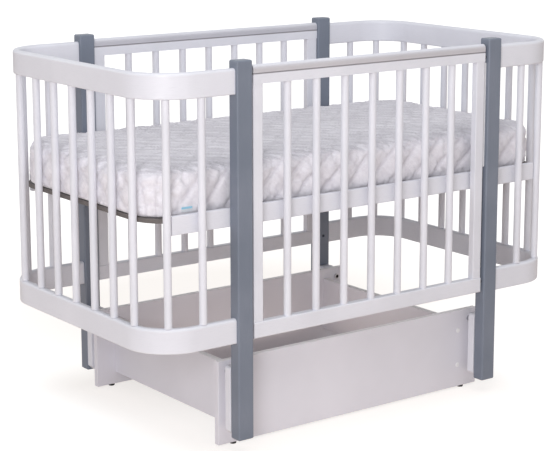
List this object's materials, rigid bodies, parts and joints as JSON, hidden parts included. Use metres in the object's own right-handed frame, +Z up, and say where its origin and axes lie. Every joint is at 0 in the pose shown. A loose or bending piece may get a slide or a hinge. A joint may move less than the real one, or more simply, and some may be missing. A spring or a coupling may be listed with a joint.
{
  "type": "crib",
  "caption": "Swinging baby crib: posts and U-shaped bent rail ends with round slats hang on links from a base frame; drop side and quilted mattress.",
  "frame": {"origin": "centre of the crib's outline on the floor, at the underside of the glides", "axes": "+X along the crib to the right as seen from the drop side, +Y towards the fixed back side, +Z up"},
  "size_m": [1.237, 0.712, 0.905],
  "materials": {
    "post_paint": "satin painted beech, grey-blue",
    "white_paint": "satin painted beech and bent plywood",
    "stand_paint": "satin painted board",
    "panel": "raw fibreboard with a painted face",
    "steel": "zinc plated",
    "black_metal": "black",
    "black_plastic": "matt",
    "white_plastic": "smooth",
    "ticking": "quilted knit",
    "tag": "woven tape, blank"
  },
  "bodies": {
    "base": {"stand_board_front": "stand_paint", "stand_board_back": "stand_paint", "stand_panel_left": "stand_paint", "stand_panel_right": "stand_paint", "floor_glides": "black_plastic", "stand_screws": "white_plastic", "pivot_bolts": "black_metal", "pivot_spacers": "steel", "pivot_nuts": "steel"},
    "link_front_left": {"link_front_left": "white_paint", "bearings_front_left": "steel"},
    "link_front_right": {"link_front_right": "white_paint", "bearings_front_right": "steel"},
    "link_back_left": {"link_back_left": "white_paint", "bearings_back_left": "steel"},
    "link_back_right": {"link_back_right": "white_paint", "bearings_back_right": "steel"},
    "cradle": {"post_front_left": "post_paint", "post_front_right": "post_paint", "post_back_left": "post_paint", "post_back_right": "post_paint", "link_bolts": "steel", "rail_left_top": "white_paint", "rail_left_bottom": "white_paint", "rail_right_top": "white_paint", "rail_right_bottom": "white_paint", "slats_left": "white_paint", "slats_right": "white_paint", "rail_bolts": "black_metal", "back_rail_top": "white_paint", "back_rail_bottom": "white_paint", "back_stiles": "white_paint", "back_slats": "white_paint", "back_dowels": "white_paint", "guide_strips": "white_plastic", "guide_screws": "black_metal", "guide_studs": "steel", "bed_rail_front": "white_paint", "bed_rail_back": "white_paint", "bed_board": "panel", "bed_bolts": "black_metal", "mattress": "ticking", "mattress_tag": "tag"},
    "drop_side": {"drop_rail_top": "white_paint", "drop_rail_bottom": "white_paint", "drop_stiles": "white_paint", "drop_slats": "white_paint", "drop_pins": "black_plastic"}
  },
  "joints": [
    {"name": "sway", "type": "hinge", "parent": "base", "child": "link_front_left", "pos_m": [-0.3775, -0.3115, 0.181], "axis": [0, 1, 0], "range_deg": [-15, 15]},
    {"name": "sway_front_right", "type": "hinge", "parent": "base", "child": "link_front_right", "pos_m": [0.3775, -0.3115, 0.181], "axis": [0, 1, 0], "range_deg": [-15, 15]},
    {"name": "sway_back_left", "type": "hinge", "parent": "base", "child": "link_back_left", "pos_m": [-0.3775, 0.3115, 0.181], "axis": [0, 1, 0], "range_deg": [-15, 15]},
    {"name": "sway_back_right", "type": "hinge", "parent": "base", "child": "link_back_right", "pos_m": [0.3775, 0.3115, 0.181], "axis": [0, 1, 0], "range_deg": [-15, 15]},
    {"name": "cradle_level", "type": "hinge", "parent": "link_front_left", "child": "cradle", "pos_m": [-0.3775, -0.3115, 0.061], "axis": [0, 1, 0], "range_deg": [-15, 15]},
    {"name": "drop", "type": "slide", "parent": "cradle", "child": "drop_side", "axis": [0, 0, 1], "range_m": [-0.18, 0]}
  ],
  "couplings": [
    {"joint": "cradle_level", "follows": "sway", "ratio": -1},
    {"joint": "sway_front_right", "follows": "sway", "ratio": 1},
    {"joint": "sway_back_left", "follows": "sway", "ratio": 1},
    {"joint": "sway_back_right", "follows": "sway", "ratio": 1}
  ]
}
